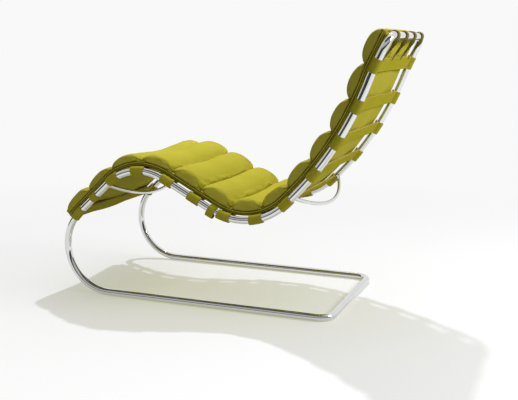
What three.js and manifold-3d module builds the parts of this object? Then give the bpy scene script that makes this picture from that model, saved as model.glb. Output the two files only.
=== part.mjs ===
// A cantilever lounge chair: one bent tube on each side, twelve leather bands slung between
// the two side rails, and a long cushion of thirteen sewn rolls lying on the bands.
// Millimetres. X runs from the toe end to the head end, Y across, Z up, floor at Z = 0.
import * as THREE from "three";
import { mergeVertices } from "three/addons/utils/BufferGeometryUtils.js";
import Module from "manifold-3d";

const wasm = await Module();
wasm.setup();

// Frame tube
const tubeDiameter = 25;
const tubeWall = 2;
const tubeSides = 16;
const boreSides = 8;
const railSpacing = 575;
const cornerRadius = 50;
const floorRailLength = 826.4;
const floorRailStart = 404;

// Side rail, from where it leaves the floor: loop, calf, knee, thigh, seat, back, head
const loopRadius = 165.7;
const loopTurn = THREE.MathUtils.degToRad(136);
const calfLength = 163.8;
const kneeRadius = 186.3;
const kneeTurn = THREE.MathUtils.degToRad(71.6);
const thighLength = 209.3;
const seatRadius = 222.5;
const seatTurn = THREE.MathUtils.degToRad(72.2);
const backRadius = 1128;
const backTurn = THREE.MathUtils.degToRad(26);
const headRadius = 400;
const headTurn = THREE.MathUtils.degToRad(5.5);
const headLength = 101.5;
const bendStep = THREE.MathUtils.degToRad(9.5);
const longestChord = 80;

// Joint in the middle of the two cross runs of the tube
const seamGap = 0.3;
const sleeveLength = 80;
const sleeveWall = 2.5;
const sleeveClearance = 0.3;

// Bowed tie bars under the knee and behind the small of the back
const tieDiameter = 13;
const tieSides = 12;
const tieSteps = 16;
const kneeTieSag = 84;
const lumbarTieSag = 77;
const tieStandoff = 2;
const copeClearance = 0.3;
const copeReach = 30;

// Leather bands: an eye round each rail, and two layers lying flat together between the eyes
const bandWidth = 47;
const bandThickness = 3.2;
const bandRise = 3;
const bandFillet = 8;
const bandFilletSteps = 3;
const wrapClearance = 0.3;
const bandPlaceShares = [
  0.2012, 0.3021, 0.3569, 0.4176, 0.4772, 0.5407, 0.6018, 0.6651, 0.7375, 0.806, 0.8741, 0.9459,
];

// Narrow belts that hold the cushion to each rail
const beltWidth = 27;
const beltThickness = 2.7;
const beltTabLength = 28;
const kneeBeltShare = 0.2493;
const seatBeltShare = 0.5165;
const kneeBeltSlack = 0;
const seatBeltSlack = 11;

// Loops from the head of the cushion over the top bar
const headLoopCount = 4;
const headLoopWidth = 22;
const headLoopThickness = 3;
const headLoopSpacing = 145;
const headLoopFrontLeg = 38;
const headLoopLap = 7;
const headLoopEase = 4;
const headLoopTailShare = 0.45;

// Cushion
const cushionInset = 15.5;
const cushionStartShare = 0.1805;
const cushionOverhang = 4;
const baseThickness = 14;
const baseEdge = 4;
const pipingDiameter = 5;
const pipingProud = 2;
const rollCount = 13;
const rollHeight = 39;
const rollEdgeHeight = 5;
const rollValleyShare = 0.27;
const toeValleyShare = 0.6;
const headValleyShare = 0.1;
const swellPower = 0.3;
const rollEndRound = 42;
const rollPucker = 5;
const rollSeam = 0.3;
const crownPower = 2.3;
const crownSteps = 10;
const seatClearance = 0.3;

// Colours
const chromeColour = 0xd5d8da;
const bandColour = 0x85801a;
const cushionColour = 0xbdb545;

const tubeRadius = tubeDiameter / 2;
const boreRadius = tubeRadius - tubeWall;
const halfSpacing = railSpacing / 2;
const cushionWidth = railSpacing - 2 * cushionInset;
const cornerReach = (radius, sides) => radius / Math.cos(Math.PI / sides);
const wrapSides = 16;
const wrapRadius =
  cornerReach(cornerReach(tubeRadius, tubeSides) + wrapClearance, wrapSides);
const bandOuter = wrapRadius + bandThickness;
const cushionLift = bandOuter + seatClearance;
const rollLift = cushionLift + baseThickness + seatClearance;

const chrome = new THREE.MeshStandardMaterial({
  color: chromeColour,
  metalness: 1,
  roughness: 0.08,
});
const bandLeather = new THREE.MeshStandardMaterial({ color: bandColour, roughness: 0.6 });
const cushionLeather = new THREE.MeshStandardMaterial({ color: cushionColour, roughness: 0.55 });

const chair = new THREE.Group();

function addPiece(name, geometry, material, parent = chair) {
  const mesh = new THREE.Mesh(geometry, material);
  mesh.name = name;
  parent.add(mesh);
  return mesh;
}

// A path given by its stations. Each station carries a section on two directions:
// across and out, with across x out along the path.
class StationPath extends THREE.Curve {
  constructor(stations) {
    super();
    this.stations = stations;
  }

  getPoint(share, target = new THREE.Vector3()) {
    const place = share * (this.stations.length - 1);
    const first = Math.min(Math.floor(place), this.stations.length - 2);
    const [from, to] = [this.stations[first], this.stations[first + 1]];
    return target.lerpVectors(from.point, to.point, place - first);
  }

  getSpacedPoints() {
    return this.stations.map((station) => station.point.clone());
  }

  computeFrenetFrames() {
    return {
      tangents: this.stations.map((station) => station.along.clone()),
      normals: this.stations.map((station) => station.across.clone()),
      binormals: this.stations.map((station) => station.out.clone()),
    };
  }
}

function sweep(shape, stations, curveSegments) {
  return new THREE.ExtrudeGeometry(shape, {
    steps: stations.length - 1,
    curveSegments,
    extrudePath: new StationPath(stations),
  });
}

const straight = (length) => ({ length });
const bend = (radius, turn) => ({ radius, turn, pull: "out" });
const corner = (radius, turn) => ({ radius, turn, pull: "across" });

// Lays stations along a plan of straights and bends, starting from one station. A turn is
// positive towards the direction that the bend or corner pulls to.
function layPath(start, plan) {
  const stations = [start];
  let here = start;
  for (const piece of plan) {
    if (!piece.radius) {
      here = { ...here, point: here.point.clone().addScaledVector(here.along, piece.length) };
      here.distance += piece.length;
      stations.push(here);
      continue;
    }
    const length = Math.abs(piece.turn) * piece.radius;
    const parts = Math.max(
      Math.ceil(Math.abs(piece.turn) / bendStep),
      Math.ceil(length / longestChord),
    );
    const side = Math.sign(piece.turn);
    const from = here;
    const pull = from[piece.pull];
    for (let part = 1; part <= parts; part++) {
      const angle = (piece.turn * part) / parts;
      const along = from.along
        .clone()
        .multiplyScalar(Math.cos(angle))
        .addScaledVector(pull, Math.sin(angle));
      const pulled = pull
        .clone()
        .multiplyScalar(Math.cos(angle))
        .addScaledVector(from.along, -Math.sin(angle));
      here = {
        ...from,
        along,
        [piece.pull]: pulled,
        point: from.point
          .clone()
          .addScaledVector(pull, side * piece.radius)
          .addScaledVector(pulled, -side * piece.radius),
        distance: from.distance + (length * part) / parts,
      };
      stations.push(here);
    }
  }
  return stations;
}

const railPlan = [
  bend(loopRadius, -loopTurn),
  straight(calfLength),
  bend(kneeRadius, -kneeTurn),
  straight(thighLength),
  bend(seatRadius, seatTurn),
  bend(backRadius, backTurn),
  bend(headRadius, -headTurn),
];

// The rail's line seen from the side, at Y = 0, which the bands and the cushion follow.
const sling = layPath(
  {
    point: new THREE.Vector3(floorRailStart - floorRailLength, 0, tubeRadius),
    along: new THREE.Vector3(-1, 0, 0),
    across: new THREE.Vector3(0, 1, 0),
    out: new THREE.Vector3(0, 0, -1),
    distance: 0,
  },
  [...railPlan, straight(headLength)],
);
const slingEnd = sling[sling.length - 1];
const slingLength = slingEnd.distance;

// The station at a distance along the sling, moved to a place across it.
function slingAt(distance, across = 0) {
  const found = sling.findIndex((station) => station.distance > distance);
  const next = found < 0 ? sling.length - 1 : Math.max(found, 1);
  const [from, to] = [sling[next - 1], sling[next]];
  const share = (distance - from.distance) / (to.distance - from.distance);
  return {
    point: from.point.clone().lerp(to.point, share).addScaledVector(from.across, across),
    along: to.point.clone().sub(from.point).normalize(),
    across: from.across.clone(),
    out: share > 1 ? to.out.clone() : from.out.clone().lerp(to.out, share),
    distance,
  };
}

// Stations from one distance to another, with every station of the rail between them.
function slingRun(start, end, across = 0) {
  const between = sling
    .map((station) => station.distance)
    .filter((distance) => distance > start && distance < end);
  return [start, ...between, end].map((distance) => slingAt(distance, across));
}

function polygon(PathClass, radius, sides) {
  const path = new PathClass();
  const reach = cornerReach(radius, sides);
  for (let side = 0; side < sides; side++) {
    const angle = (Math.PI * (2 * side + 1)) / sides;
    const [x, y] = [reach * Math.cos(angle), reach * Math.sin(angle)];
    if (side) path.lineTo(x, y);
    else path.moveTo(x, y);
  }
  path.closePath();
  return path;
}

function ringShape(radius, sides, holeRadius, holeSides) {
  const shape = polygon(THREE.Shape, radius, sides);
  shape.holes.push(polygon(THREE.Path, holeRadius, holeSides));
  return shape;
}

// One half of the frame, from the middle of the floor bar to the middle of the top bar.
// side is -1 for the near rail and 1 for the far one.
function frameHalf(side) {
  const halfBar = halfSpacing - cornerRadius - seamGap / 2;
  const quarter = Math.PI / 2;
  const start = {
    point: new THREE.Vector3(floorRailStart, (side * seamGap) / 2, tubeRadius),
    along: new THREE.Vector3(0, side, 0),
    across: new THREE.Vector3(side, 0, 0),
    out: new THREE.Vector3(0, 0, -1),
    distance: 0,
  };
  const stations = layPath(start, [
    straight(halfBar),
    corner(cornerRadius, -side * quarter),
    straight(floorRailLength - cornerRadius),
    ...railPlan,
    straight(headLength - cornerRadius),
    corner(cornerRadius, -side * quarter),
    straight(halfBar),
  ]);
  return sweep(ringShape(tubeRadius, tubeSides, boreRadius, boreSides), stations);
}

// The short tube inside the joint of the two halves.
function jointSleeve(centre) {
  const radius = boreRadius - sleeveClearance;
  const shape = ringShape(radius, boreSides, radius - sleeveWall, boreSides);
  const stations = [-sleeveLength / 2, sleeveLength / 2].map((y) => ({
    point: new THREE.Vector3(centre.point.x, y, centre.point.z),
    along: centre.across,
    across: centre.along.clone().negate(),
    out: centre.out,
  }));
  return sweep(shape, stations);
}

function solidFrom(geometry) {
  const bare = geometry.clone();
  bare.deleteAttribute("normal");
  bare.deleteAttribute("uv");
  const merged = mergeVertices(bare);
  return new wasm.Manifold(
    new wasm.Mesh({
      numProp: 3,
      vertProperties: new Float32Array(merged.attributes.position.array),
      triVerts: new Uint32Array(merged.index.array),
    }),
  );
}

function geometryFrom(solid) {
  const mesh = solid.getMesh();
  const geometry = new THREE.BufferGeometry();
  geometry.setAttribute("position", new THREE.BufferAttribute(mesh.vertProperties, 3));
  geometry.setIndex(new THREE.BufferAttribute(mesh.triVerts, 1));
  geometry.computeVertexNormals();
  return geometry;
}

// A round bar bowed away from the sitter, its ends coped to fit round the two rails.
function tieBar(distance, sag) {
  const rail = slingAt(distance);
  const bowRadius = (halfSpacing ** 2 + sag ** 2) / (2 * sag);
  const reach = Math.asin(halfSpacing / bowRadius);
  const stations = [];
  for (let step = 0; step <= tieSteps; step++) {
    const angle = reach * ((2 * step) / tieSteps - 1);
    const depth = bowRadius * (1 - Math.cos(angle)) - sag;
    stations.push({
      point: rail.point
        .clone()
        .addScaledVector(rail.out, depth)
        .addScaledVector(rail.across, bowRadius * Math.sin(angle)),
      along: rail.across
        .clone()
        .multiplyScalar(Math.cos(angle))
        .addScaledVector(rail.out, Math.sin(angle)),
      across: rail.out
        .clone()
        .multiplyScalar(Math.cos(angle))
        .addScaledVector(rail.across, -Math.sin(angle)),
      out: rail.along,
    });
  }
  const section = polygon(THREE.Shape, tieDiameter / 2, tieSides);
  let bar = solidFrom(sweep(section, stations));
  const cope = polygon(THREE.Shape, tubeRadius + copeClearance, tubeSides);
  for (const across of [-halfSpacing, halfSpacing]) {
    const run = slingRun(distance - copeReach, distance + copeReach, across);
    bar = bar.subtract(solidFrom(sweep(cope, run)));
  }
  return geometryFrom(bar);
}

// Points along an arc, without its last point, where the next arc starts.
function arcPoints(x, y, radius, from, to, steps) {
  return Array.from({ length: steps }, (_, step) => {
    const angle = from + ((to - from) * step) / steps;
    return new THREE.Vector2(x + radius * Math.cos(angle), y + radius * Math.sin(angle));
  });
}

// Half of a band's outline, seen along the rail and measured from the far rail's middle:
// along the flat run's front, through a fillet, round the rail, and back along its rear.
function bandHalfOutline() {
  const quarter = Math.PI / 2;
  const quarterSteps = wrapSides / 4;
  const front = bandRise + bandThickness;
  const rear = bandRise - bandThickness;
  const filletReach = bandOuter + bandFillet;
  const frontInset = Math.sqrt(filletReach ** 2 - (front + bandFillet) ** 2);
  const rearInset = Math.sqrt(filletReach ** 2 - (rear - bandFillet) ** 2);
  const leave = Math.atan2(front + bandFillet, frontInset);
  const arrive = Math.atan2(bandFillet - rear, rearInset);
  return [
    ...arcPoints(-frontInset, front + bandFillet, bandFillet, -quarter, -leave, bandFilletSteps),
    ...arcPoints(0, 0, bandOuter, Math.PI - leave, quarter, bandFilletSteps),
    ...arcPoints(0, 0, bandOuter, quarter, 0, quarterSteps),
    ...arcPoints(0, 0, bandOuter, 0, -quarter, quarterSteps),
    ...arcPoints(0, 0, bandOuter, -quarter, arrive - Math.PI, bandFilletSteps),
    ...arcPoints(-rearInset, rear - bandFillet, bandFillet, arrive, quarter, bandFilletSteps),
    new THREE.Vector2(-rearInset, rear),
  ];
}

// A leather band with an eye closed round each rail, which follows the rails' bend.
function slingBand(distance) {
  const half = bandHalfOutline();
  const far = half.map(({ x, y }) => new THREE.Vector2(halfSpacing + x, y));
  const near = far.map(({ x, y }) => new THREE.Vector2(-x, y)).reverse();
  const shape = new THREE.Shape([...far, ...near]);
  for (const across of [-halfSpacing, halfSpacing]) {
    const eye = arcPoints(across, 0, wrapRadius, 0, 2 * Math.PI, wrapSides);
    shape.holes.push(new THREE.Path(eye));
  }
  return sweep(shape, slingRun(distance - bandWidth / 2, distance + bandWidth / 2));
}

// A belt closed round one rail, with a tab that lies flat under the cushion.
function cushionBelt(distance, side, slack) {
  const outer = wrapRadius + beltThickness;
  const lift = Math.asin(wrapRadius / outer);
  const shape = new THREE.Shape();
  shape.moveTo(-beltTabLength, outer);
  shape.lineTo(0, outer);
  shape.absarc(0, 0, outer, Math.PI / 2, 0, true);
  shape.absarc(0, -slack, outer, 0, -Math.PI, true);
  shape.absarc(0, 0, outer, Math.PI, Math.PI - lift, true);
  shape.lineTo(-beltTabLength, wrapRadius);
  shape.closePath();
  const hole = new THREE.Path();
  hole.absarc(0, 0, wrapRadius, 0, Math.PI, false);
  hole.absarc(0, -slack, wrapRadius, Math.PI, 2 * Math.PI, false);
  hole.closePath();
  shape.holes.push(hole);
  const run = slingRun(distance - beltWidth / 2, distance + beltWidth / 2, side * halfSpacing);
  // The section's tab points to the near side, so the near belt is turned end for end.
  if (side < 0) {
    run.reverse();
    for (const station of run) {
      station.across.negate();
      station.along.negate();
    }
  }
  return sweep(shape, run, wrapSides / 4);
}

// A strip that starts under the cushion's head end, turns over the top bar and laps the
// back of the topmost band. Drawn in the plane of the rail's end, x along it and y out.
function headLoop() {
  const outer = wrapRadius + headLoopThickness;
  const topBand = slingLength * bandPlaceShares[bandPlaceShares.length - 1] + bandWidth / 2;
  const bandEdge = topBand - slingLength;
  const lapInner = bandThickness - bandRise + seatClearance;
  const lapOuter = lapInner + headLoopThickness;
  const easeFrom = bandEdge + headLoopEase;
  const tail = bandEdge - headLoopLap;
  // The rear leg leaves the bar on the tangent that reaches the back of the band.
  const reach = Math.hypot(easeFrom, lapInner);
  const leave = Math.atan2(-lapInner, easeFrom) + Math.acos(wrapRadius / reach);
  const shape = new THREE.Shape();
  shape.moveTo(-headLoopFrontLeg, wrapRadius);
  shape.lineTo(0, wrapRadius);
  shape.absarc(0, 0, wrapRadius, Math.PI / 2, leave, true);
  shape.lineTo(easeFrom, -lapInner);
  shape.lineTo(tail, -lapInner);
  shape.lineTo(tail, -lapOuter);
  shape.lineTo(easeFrom, -lapOuter);
  shape.absarc(0, 0, outer, leave, Math.PI / 2, false);
  shape.lineTo(-headLoopFrontLeg, outer);
  shape.closePath();
  const geometry = new THREE.ExtrudeGeometry(shape, {
    depth: headLoopWidth,
    bevelEnabled: false,
    curveSegments: wrapSides / 4,
  });
  geometry.translate(0, 0, -headLoopWidth / 2);
  const places = geometry.attributes.position;
  for (let i = 0; i < places.count; i++) {
    if (places.getY(i) > 0) continue;
    const share = Math.min(1, Math.max(0, places.getX(i) / tail));
    places.setZ(i, places.getZ(i) * (1 + (headLoopTailShare - 1) * share));
  }
  geometry.computeVertexNormals();
  return geometry;
}

// The flat pad under the rolls, with a piped edge along its top.
function cushionBase(start, end) {
  const half = cushionWidth / 2;
  const top = cushionLift + baseThickness;
  const shape = new THREE.Shape();
  shape.moveTo(-half + baseEdge, cushionLift);
  shape.lineTo(half - baseEdge, cushionLift);
  shape.lineTo(half, cushionLift + baseEdge);
  shape.lineTo(half, top - pipingDiameter);
  shape.lineTo(half + pipingProud, top - pipingDiameter / 2);
  shape.lineTo(half, top);
  shape.lineTo(-half, top);
  shape.lineTo(-half - pipingProud, top - pipingDiameter / 2);
  shape.lineTo(-half, top - pipingDiameter);
  shape.lineTo(-half, cushionLift + baseEdge);
  shape.closePath();
  return sweep(shape, slingRun(start, end));
}

// Joins rings of equal length into one closed body. The rings step along +Y, and each
// runs round the outline with the sitter's side last.
function loft(rings, outlines) {
  const size = rings[0].length;
  const positions = rings.flat().flatMap((point) => point.toArray());
  const faces = [];
  for (let ring = 0; ring + 1 < rings.length; ring++) {
    for (let at = 0; at < size; at++) {
      const [a, b] = [ring * size + at, ring * size + ((at + 1) % size)];
      faces.push(a, a + size, b, b, a + size, b + size);
    }
  }
  const last = (rings.length - 1) * size;
  const [firstCap, lastCap] = [outlines[0], outlines[outlines.length - 1]].map((outline) =>
    THREE.ShapeUtils.triangulateShape(outline, []),
  );
  for (const [a, b, c] of firstCap) faces.push(a, b, c);
  for (const [a, b, c] of lastCap) faces.push(last + a, last + c, last + b);
  const geometry = new THREE.BufferGeometry();
  geometry.setAttribute("position", new THREE.Float32BufferAttribute(positions, 3));
  geometry.setIndex(faces);
  geometry.computeVertexNormals();
  return geometry;
}

// Places across a roll, close together where its ends round over.
function rollPlaces() {
  const half = cushionWidth / 2;
  const roundShares = [1, 0.92, 0.7, 0.38, 0];
  const end = roundShares.map((share) => half - rollEndRound * (1 - share));
  return [...end.map((y) => -y), 0, ...end.reverse()];
}

// One stuffed roll between two seams: upright where it meets its neighbours, crowned
// between them, and drawn in and closed at both ends. A roll stands higher where the seat
// squeezes it and lower where the knee stretches it.
function cushionRoll(start, end, startValleyShare, endValleyShare) {
  const half = cushionWidth / 2;
  const flat = half - rollEndRound;
  const [from, to] = [start + rollSeam / 2, end - rollSeam / 2];
  const middle = (from + to) / 2;
  const floor = slingRun(from, to).map((station) => station.distance);
  const chord = (lift) => {
    const [a, b] = [slingAt(from), slingAt(to)];
    a.point.addScaledVector(a.out, lift);
    return a.point.distanceTo(b.point.addScaledVector(b.out, lift));
  };
  const swell = (chord(rollLift) / chord(rollLift + rollHeight)) ** swellPower;
  const rings = [];
  const outlines = [];
  for (const y of rollPlaces()) {
    const over = Math.max(0, Math.abs(y) - flat) / rollEndRound;
    const fullness = Math.sqrt(Math.max(0, 1 - over ** 2));
    const height = rollEdgeHeight + (rollHeight * swell - rollEdgeHeight) * fullness;
    const reach = (to - from) / 2 - rollPucker * (1 - fullness);
    const outline = floor.map((distance) => new THREE.Vector2(distance, rollLift));
    for (let step = 0; step <= crownSteps; step++) {
      const share = Math.cos((Math.PI * step) / crownSteps);
      const crown = Math.sqrt(Math.max(0, 1 - Math.abs(share) ** crownPower));
      const mix = (1 + share) / 2;
      const valley = height * (startValleyShare * (1 - mix) + endValleyShare * mix);
      const lift = rollLift + valley + (height - valley) * crown;
      outline.push(new THREE.Vector2(middle + reach * share, lift));
    }
    outlines.push(outline);
    rings.push(
      outline.map(({ x: distance, y: lift }) => {
        const station = slingAt(distance, y);
        return station.point.addScaledVector(station.out, lift);
      }),
    );
  }
  return loft(rings, outlines);
}

// Distances along the sling that cut the cushion into rolls of equal length, measured
// along the cushion's own base, which is longer than the rail outside a bend.
function rollSeams(start, end) {
  const lift = cushionLift + baseThickness / 2;
  const run = slingRun(start, end);
  const points = run.map(({ point, out }) => point.clone().addScaledVector(out, lift));
  const lengths = [0];
  for (let i = 1; i < points.length; i++) {
    lengths.push(lengths[i - 1] + points[i].distanceTo(points[i - 1]));
  }
  const total = lengths[lengths.length - 1];
  const seams = [];
  for (let roll = 0; roll <= rollCount; roll++) {
    const wanted = (total * roll) / rollCount;
    const next = Math.max(1, lengths.findIndex((length) => length >= wanted - Number.EPSILON));
    const index = roll === rollCount ? lengths.length - 1 : next;
    const share = (wanted - lengths[index - 1]) / (lengths[index] - lengths[index - 1]);
    const [a, b] = [run[index - 1].distance, run[index].distance];
    seams.push(a + (b - a) * share);
  }
  return seams;
}

const twoDigits = (count) => String(count).padStart(2, "0");

addPiece("frame_tube_near", frameHalf(-1), chrome);
addPiece("frame_tube_far", frameHalf(1), chrome);

const floorBar = {
  point: new THREE.Vector3(floorRailStart, 0, tubeRadius),
  along: new THREE.Vector3(-1, 0, 0),
  across: new THREE.Vector3(0, 1, 0),
  out: new THREE.Vector3(0, 0, -1),
};
addPiece("joint_sleeve_floor", jointSleeve(floorBar), chrome);
addPiece("joint_sleeve_top", jointSleeve(slingEnd), chrome);

const bandPlaces = bandPlaceShares.map((share) => slingLength * share);
bandPlaces.forEach((distance, index) => {
  addPiece("sling_band_" + twoDigits(index + 1), slingBand(distance), bandLeather);
});

// The tie bars sit beside the second and the eighth band.
const tieOffset = bandWidth / 2 + tieDiameter / 2 + tieStandoff;
addPiece("tie_bar_knee", tieBar(bandPlaces[1] - tieOffset, kneeTieSag), chrome);
addPiece("tie_bar_lumbar", tieBar(bandPlaces[7] + tieOffset, lumbarTieSag), chrome);

for (const [sideName, side] of [["near", -1], ["far", 1]]) {
  const knee = cushionBelt(slingLength * kneeBeltShare, side, kneeBeltSlack);
  addPiece("cushion_belt_knee_" + sideName, knee, bandLeather);
  const seat = cushionBelt(slingLength * seatBeltShare, side, seatBeltSlack);
  addPiece("cushion_belt_seat_" + sideName, seat, bandLeather);
}

const head = new THREE.Group();
head.position.copy(slingEnd.point);
head.quaternion.setFromRotationMatrix(
  new THREE.Matrix4().makeBasis(
    slingEnd.along,
    slingEnd.out,
    slingEnd.along.clone().cross(slingEnd.out),
  ),
);
chair.add(head);
for (let loop = 0; loop < headLoopCount; loop++) {
  const mesh = addPiece("head_loop_" + (loop + 1), headLoop(), bandLeather, head);
  mesh.position.z = headLoopSpacing * ((headLoopCount - 1) / 2 - loop);
}

const cushionStart = slingLength * cushionStartShare;
const cushionEnd = slingLength + cushionOverhang;
addPiece("cushion_base", cushionBase(cushionStart, cushionEnd), cushionLeather);
const seams = rollSeams(cushionStart, cushionEnd);
for (let roll = 0; roll < rollCount; roll++) {
  const startShare = roll === 0 ? toeValleyShare : rollValleyShare;
  const endShare = roll === rollCount - 1 ? headValleyShare : rollValleyShare;
  const geometry = cushionRoll(seams[roll], seams[roll + 1], startShare, endShare);
  addPiece("cushion_roll_" + twoDigits(roll + 1), geometry, cushionLeather);
}

// The origin is on the floor under the middle of the chair's overall length and width.
chair.updateMatrixWorld(true);
const overall = new THREE.Box3().setFromObject(chair, true);
chair.position.x = -(overall.min.x + overall.max.x) / 2;

export default chair;
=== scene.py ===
# Cantilever lounge chair: one line of polished tube, leather bands and a cushion of sewn rolls.
import math

import bmesh
import bpy
from mathutils import Matrix, Vector, noise


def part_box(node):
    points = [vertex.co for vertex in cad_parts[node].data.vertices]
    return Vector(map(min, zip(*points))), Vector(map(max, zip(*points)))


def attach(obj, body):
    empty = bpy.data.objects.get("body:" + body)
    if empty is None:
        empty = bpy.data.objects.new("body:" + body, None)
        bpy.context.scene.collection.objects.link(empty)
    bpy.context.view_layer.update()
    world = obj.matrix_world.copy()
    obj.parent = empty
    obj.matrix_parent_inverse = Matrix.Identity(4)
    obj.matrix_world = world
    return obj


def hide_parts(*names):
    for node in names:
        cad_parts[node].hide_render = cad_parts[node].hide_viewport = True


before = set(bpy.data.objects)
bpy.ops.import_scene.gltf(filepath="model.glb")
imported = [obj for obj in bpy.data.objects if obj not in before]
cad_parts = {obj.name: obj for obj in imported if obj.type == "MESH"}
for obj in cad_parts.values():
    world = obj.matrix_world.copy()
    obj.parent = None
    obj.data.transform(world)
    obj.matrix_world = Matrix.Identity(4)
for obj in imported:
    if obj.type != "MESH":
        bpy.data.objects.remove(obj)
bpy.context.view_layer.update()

mm = 0.001
bpy.context.scene.view_settings.view_transform = "Standard"


# Camera
print("camera")
cameraSet = {
    "place": (1.148, -3.0173, 0.9186),
    "yaw": 19.68,
    "pitch": 10.21,
    "roll": 0.865,
    "lens": 61.52,
    "shift": (-0.0045, -0.0009),
    "clipEnd": 100,
}

bpy.ops.object.camera_add(location=cameraSet["place"])
camera = bpy.context.object
camera.rotation_mode = "QUATERNION"
camera.rotation_quaternion = (
    Matrix.Rotation(math.radians(cameraSet["yaw"]), 4, "Z")
    @ Matrix.Rotation(math.radians(90 - cameraSet["pitch"]), 4, "X")
    @ Matrix.Rotation(math.radians(cameraSet["roll"]), 4, "Z")
).to_quaternion()
camera.data.lens = cameraSet["lens"]
camera.data.shift_x, camera.data.shift_y = cameraSet["shift"]
camera.data.clip_end = cameraSet["clipEnd"]
bpy.context.scene.camera = camera


# The chair's line: the middle of a side rail, from where it leaves the floor to the top bar
chairLine = {
    "tube": 25 * mm,
    "railSpacing": 575 * mm,
    "corner": 50 * mm,
    "floorRail": 826.4 * mm,
    "bends": [  # (length, 0) is a straight, (radius, degrees) a bend, positive towards the sitter
        (165.7 * mm, -136),
        (163.8 * mm, 0),
        (186.3 * mm, -71.6),
        (209.3 * mm, 0),
        (222.5 * mm, 72.2),
        (1128 * mm, 26),
        (400 * mm, -5.5),
        (101.5 * mm, 0),
    ],
    "spinStep": 3,  # degrees
    "wideBend": 1,  # metres of radius, above which a bend takes the finer step
    "wideSpinStep": 1,
}
tubeRadius = chairLine["tube"] / 2
halfSpacing = chairLine["railSpacing"] / 2
floorBarX = sum(corner.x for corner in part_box("joint_sleeve_floor")) / 2


def linePieces():
    pieces = []
    x, z, heading, start = floorBarX - chairLine["floorRail"], tubeRadius, math.pi, 0.0
    for size, turn in chairLine["bends"]:
        angle = math.radians(turn)
        length = abs(angle) * size if turn else size
        pieces.append((start, length, x, z, heading, size, angle))
        x, z, heading = stepAlong(pieces[-1], length)
        start += length
    return pieces


def stepAlong(piece, distance):
    start, length, x, z, heading, size, angle = piece
    if not angle:
        return x + distance * math.cos(heading), z + distance * math.sin(heading), heading
    side = math.copysign(1, angle)
    turned = heading + side * distance / size
    x += side * size * (math.sin(turned) - math.sin(heading))
    z -= side * size * (math.cos(turned) - math.cos(heading))
    return x, z, turned


railPieces = linePieces()
lineLength = railPieces[-1][0] + railPieces[-1][1]


def lineAt(distance):
    for piece in railPieces:
        if distance <= piece[0] + piece[1]:
            return stepAlong(piece, distance - piece[0])
    return stepAlong(railPieces[-1], distance - railPieces[-1][0])


def onLine(distance, across, out):
    x, z, heading = lineAt(distance)
    return Vector((x - out * math.sin(heading), across, z + out * math.cos(heading)))


# A piece modelled flat, with X along the line, Y across and Z out, is laid on the line here
def layOnLine(piece, distance):
    for vertex in piece.data.vertices:
        x, y, z = vertex.co
        vertex.co = onLine(distance + x, y, z)


# Shared modelling steps
weldWithin = 0.01 * mm


def deselectAll():
    if bpy.context.object and bpy.context.object.mode != "OBJECT":
        bpy.ops.object.mode_set(mode="OBJECT")
    bpy.ops.object.select_all(action="DESELECT")


def startPiece(name):
    piece = bpy.context.object
    piece.name = name
    piece.data.name = name
    bpy.ops.object.transform_apply(location=True, rotation=True, scale=True)
    return piece


def copyPiece(piece, name):
    twin = piece.copy()
    twin.data = piece.data.copy()
    twin.name = name
    twin.data.name = name
    bpy.context.collection.objects.link(twin)
    return twin


def makeActive(piece):
    deselectAll()
    piece.select_set(True)
    bpy.context.view_layer.objects.active = piece


def finishShell(piece, smoothAngle=40):
    makeActive(piece)
    bpy.ops.object.mode_set(mode="EDIT")
    bpy.ops.mesh.select_all(action="SELECT")
    bpy.ops.mesh.remove_doubles(threshold=weldWithin)
    bpy.ops.mesh.select_all(action="DESELECT")
    bpy.ops.mesh.select_non_manifold()
    bpy.ops.mesh.fill_holes(sides=0)
    bpy.ops.mesh.select_all(action="SELECT")
    bpy.ops.mesh.normals_make_consistent(inside=False)
    bpy.ops.object.mode_set(mode="OBJECT")
    bpy.ops.object.shade_smooth_by_angle(angle=math.radians(smoothAngle))


# Pulls the selected ring of a tube or strip along: a straight run, or a bend by spin. The
# spin operator turns against the right-hand rule, so its angle is negative here.
def pullStraight(place, direction, length, steps=1):
    move = direction * length / steps
    for step in range(steps):
        bpy.ops.mesh.extrude_region_move(TRANSFORM_OT_translate={"value": move})
        place = place + move
    return place


def pullBend(place, direction, towards, radius, angle, steps):
    axis = direction.cross(towards)
    centre = place + towards * radius
    bpy.ops.mesh.spin(steps=steps, angle=-angle, center=centre, axis=axis)
    turn = Matrix.Rotation(angle, 3, axis)
    return centre + turn @ (place - centre), turn @ direction


def stepsFor(angle, step):
    return max(2, math.ceil(math.degrees(angle) / step))


# Materials
print("materials")
strapGrain = {"grain": 0.9 * mm, "grainDepth": 0.08 * mm, "crease": 0.25 * mm}
finishes = {
    "cushionLeather": {
        "colour": (0.495, 0.445, 0.048),
        "roughness": 0.5,
        "specular": 0.0,
        "streak": 1,
        "grain": 1.3 * mm,
        "grainDepth": 0.1 * mm,
        "crease": 0.5 * mm,
    },
    "bandLeather": {
        "colour": (0.42, 0.378, 0.026),
        "roughness": 0.5,
        "specular": 0.0,
        "streak": 0.03,
        **strapGrain,
    },
    # painted shade: the head loops' leather is made darker than the bands' for the shade the
    # loops hang in
    "shadedLoopLeather": {
        "colour": (0.13, 0.112, 0.005),
        "roughness": 0.5,
        "specular": 0.12,
        "streak": 1,
        **strapGrain,
    },
    # painted shade: a near-black leather for the seam cords, standing in for the shade in the
    # seams
    "seamShadeLeather": {
        "colour": (0.1, 0.088, 0.003),
        "roughness": 0.6,
        "specular": 0.1,
        "streak": 1,
        **strapGrain,
    },
    "bandCutEdge": {
        "colour": (0.47, 0.34, 0.085),
        "roughness": 0.75,
        "specular": 0.2,
        "streak": 0.1,
        "grain": 0.5 * mm,
        "grainDepth": 0.15 * mm,
        "crease": 0.1 * mm,
    },
}
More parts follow.
